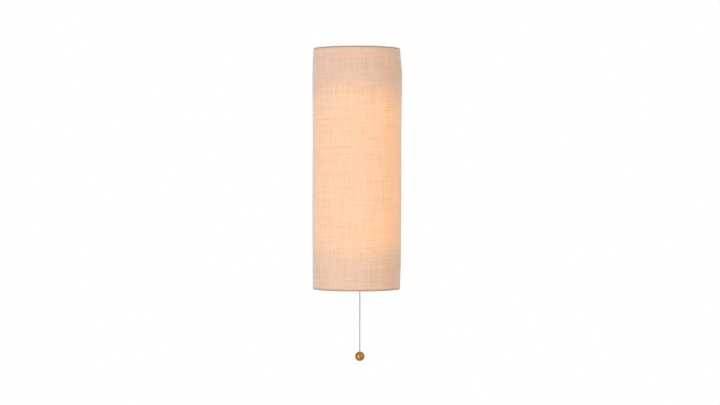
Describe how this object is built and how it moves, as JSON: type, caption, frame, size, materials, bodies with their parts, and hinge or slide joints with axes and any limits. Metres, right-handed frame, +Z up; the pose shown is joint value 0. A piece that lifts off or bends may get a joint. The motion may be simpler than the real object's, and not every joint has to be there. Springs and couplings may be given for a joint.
{
  "type": "fabric shade wall light",
  "caption": "Wall light with a tall bow-fronted linen shade open to the wall, opal bulbs above and below a channel bracket, and a pull cord with a brass ball.",
  "frame": {"origin": "middle of the two slotted screw holes of the wall strap, on the wall plane, behind the middle of the shade", "axes": "+X to the right seen from the room, +Y into the wall, +Z up"},
  "size_m": [0.15, 0.1, 0.5237],
  "materials": {
    "linen": "woven, matt",
    "liner": "translucent, matt",
    "frame_white": "satin white",
    "nut_nickel": "knurled nickel",
    "galvanised": "galvanised",
    "screw_steel": "bright zinc",
    "grommet_rubber": "matt",
    "block_plastic": "moulded, translucent white",
    "tube_zinc": "zinc plated",
    "holder_plastic": "moulded, satin",
    "contact_brass": "bright",
    "opal": "opal",
    "bulb_white": "moulded white",
    "bulb_nickel": "nickel plated",
    "switch_black": "moulded black",
    "spring_steel": "oiled",
    "pull_brass": "satin, lacquered",
    "cord_cotton": "twisted cotton",
    "lead_black": "pvc",
    "lead_white": "pvc",
    "lead_red": "pvc",
    "lead_green": "pvc"
  },
  "bodies": {
    "root": {"backplate": "frame_white", "backplate_screws": "screw_steel", "bracket_screws": "screw_steel", "cable_grommets": "grommet_rubber", "earth_screw": "contact_brass", "holder_body_lower": "holder_plastic", "holder_body_upper": "holder_plastic", "holder_cap_lower": "holder_plastic", "holder_cap_upper": "holder_plastic", "holder_contact_lower": "contact_brass", "holder_contact_upper": "contact_brass", "holder_sleeve_lower": "contact_brass", "holder_sleeve_upper": "contact_brass", "lamp_bracket": "frame_white", "nipple_nuts": "tube_zinc", "nipples": "tube_zinc", "return_spring": "spring_steel", "shade_studs": "screw_steel", "switch_bracket": "frame_white", "switch_bushing": "nut_nickel", "switch_case": "switch_black", "switch_contacts": "contact_brass", "switch_cover": "switch_black", "switch_nut": "nut_nickel", "switch_ring": "nut_nickel", "switch_screws": "screw_steel", "terminal_block": "block_plastic", "terminal_screws": "screw_steel", "wall_bracket": "galvanised", "wire_earth": "lead_green", "wire_links": "lead_black", "wire_live": "lead_black", "wire_neutral": "lead_white", "wire_switched": "lead_red"},
    "shade": {"shade_fabric": "linen", "shade_liner": "liner", "ring_top": "frame_white", "ring_bottom": "frame_white", "upright_left": "frame_white", "upright_right": "frame_white", "crossbar_upper": "frame_white", "crossbar_lower": "frame_white"},
    "nut_upper": {"thumb_nut_upper": "nut_nickel"},
    "nut_lower": {"thumb_nut_lower": "nut_nickel"},
    "bulb_upper": {"bulb_globe_upper": "opal", "bulb_collar_upper": "bulb_white", "bulb_cap_upper": "bulb_nickel", "bulb_contact_upper": "contact_brass"},
    "bulb_lower": {"bulb_globe_lower": "opal", "bulb_collar_lower": "bulb_white", "bulb_cap_lower": "bulb_nickel", "bulb_contact_lower": "contact_brass"},
    "pull": {"switch_slider": "block_plastic", "pull_stem": "nut_nickel"},
    "link": {"cord_connector": "pull_brass"},
    "cord_and_ball": {"cord": "cord_cotton", "cord_knot": "cord_cotton", "cord_ball": "pull_brass"}
  },
  "joints": [
    {"name": "shade_off", "type": "slide", "parent": "root", "child": "shade", "axis": [0, -1, 0], "range_m": [0, 0.12]},
    {"name": "nut_upper_turn", "type": "hinge", "parent": "shade", "child": "nut_upper", "pos_m": [0, -0.017, 0.15], "axis": [0, -1, 0], "range_deg": [0, 1440]},
    {"name": "nut_lower_turn", "type": "hinge", "parent": "shade", "child": "nut_lower", "pos_m": [0, -0.017, -0.13], "axis": [0, -1, 0], "range_deg": [0, 1440]},
    {"name": "bulb_upper_turn", "type": "hinge", "parent": "root", "child": "bulb_upper", "pos_m": [0, -0.05, 0.095], "axis": [0, 0, 1], "range_deg": [0, 1260]},
    {"name": "bulb_lower_turn", "type": "hinge", "parent": "root", "child": "bulb_lower", "pos_m": [0, -0.05, -0.095], "axis": [0, 0, -1], "range_deg": [0, 1260]},
    {"name": "pull_travel", "type": "slide", "parent": "root", "child": "pull", "axis": [0, 0, -1], "range_m": [0, 0.008], "stiffness_N_per_m": 1000, "springref_m": -0.004, "deforming": ["return_spring"]},
    {"name": "link_swing", "type": "hinge", "parent": "pull", "child": "link", "pos_m": [0.005, -0.05, -0.195], "axis": [1, 0, 0], "range_deg": [-40, 18]},
    {"name": "cord_swing", "type": "hinge", "parent": "link", "child": "cord_and_ball", "pos_m": [0.005, -0.05, -0.1996], "axis": [0, 1, 0], "range_deg": [-35, 35]}
  ]
}
